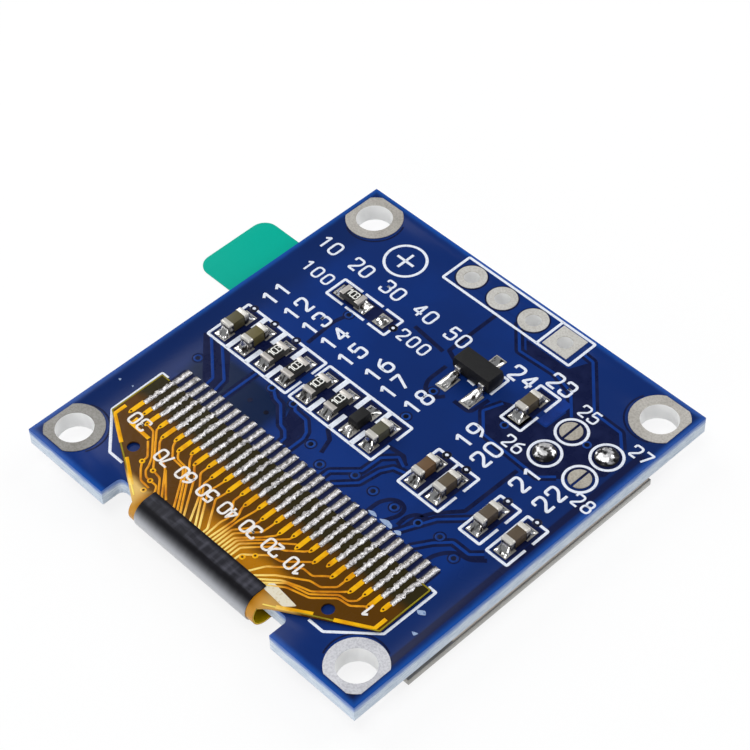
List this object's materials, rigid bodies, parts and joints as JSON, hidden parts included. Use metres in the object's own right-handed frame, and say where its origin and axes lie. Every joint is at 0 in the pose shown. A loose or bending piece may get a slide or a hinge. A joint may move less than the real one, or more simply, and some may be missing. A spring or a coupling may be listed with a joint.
{
  "type": "display module",
  "caption": "Small square display module: blue circuit board with surface-mount parts, folded amber ribbon and a glass panel face down under it.",
  "frame": {"origin": "centre of the four mounting holes, on the board's component-side face", "axes": "+Z out of the component side, +Y towards the edge with the header holes, +X along that edge towards the square contact; the display face looks along -Z"},
  "size_m": [0.0319, 0.0276, 0.0035],
  "materials": {
    "board": "glass fibre board under blue solder mask, satin",
    "tinned_copper": "copper pads under a satin tin finish",
    "solder": "bright reflowed solder",
    "capacitor_ceramic": "fired brown ceramic, satin",
    "chip_end_metal": "dull tin plating",
    "resistor_coat": "ceramic slab with a black glaze on top",
    "moulding": "black moulding compound, fine matt",
    "lead_metal": "tin plated leads",
    "ribbon_film": "amber polyimide film with copper tracks",
    "gold_contact": "gold plated contacts",
    "black_tape": "black satin tape",
    "panel_glass": "clear display glass with ground edges",
    "light_layer": "dark unlit emitter",
    "silicon": "bare grey silicon",
    "polarizer": "near-black polarizing film",
    "clear_film": "clear peel-off film",
    "tab_tape": "green translucent tape"
  },
  "bodies": {
    "root": {"circuit_board": "board", "mounting_ring_1": "tinned_copper", "mounting_ring_2": "tinned_copper", "mounting_ring_3": "tinned_copper", "mounting_ring_4": "tinned_copper", "header_ring_1": "tinned_copper", "header_ring_2": "tinned_copper", "header_ring_3": "tinned_copper", "header_ring_4": "tinned_copper", "jumper_pads": "tinned_copper", "solder_lands": "tinned_copper", "solder_fillets": "solder", "solder_bridge_1": "solder", "solder_bridge_2": "solder", "select_solder": "solder", "ribbon_joints": "solder", "capacitor_1": "capacitor_ceramic", "capacitor_2": "capacitor_ceramic", "capacitor_3": "capacitor_ceramic", "capacitor_4": "capacitor_ceramic", "capacitor_5": "capacitor_ceramic", "capacitor_6": "capacitor_ceramic", "capacitor_7": "capacitor_ceramic", "capacitor_8": "capacitor_ceramic", "capacitor_1_ends": "chip_end_metal", "capacitor_2_ends": "chip_end_metal", "capacitor_3_ends": "chip_end_metal", "capacitor_4_ends": "chip_end_metal", "capacitor_5_ends": "chip_end_metal", "capacitor_6_ends": "chip_end_metal", "capacitor_7_ends": "chip_end_metal", "capacitor_8_ends": "chip_end_metal", "resistor_1_ends": "chip_end_metal", "resistor_2_ends": "chip_end_metal", "resistor_3_ends": "chip_end_metal", "resistor_4_ends": "chip_end_metal", "resistor_5_ends": "chip_end_metal", "resistor_1": "resistor_coat", "resistor_2": "resistor_coat", "resistor_3": "resistor_coat", "resistor_4": "resistor_coat", "resistor_5": "resistor_coat", "diode_body": "moulding", "regulator_body": "moulding", "diode_leads": "lead_metal", "regulator_legs": "lead_metal", "ribbon": "ribbon_film", "ribbon_fingers": "gold_contact", "ribbon_shade": "black_tape", "foam_tape": "black_tape", "cover_glass": "panel_glass", "base_glass": "panel_glass", "light_layer": "light_layer", "driver_chip": "silicon", "polarizer": "polarizer", "protective_film": "clear_film", "pull_tab": "tab_tape"}
  },
  "joints": []
}
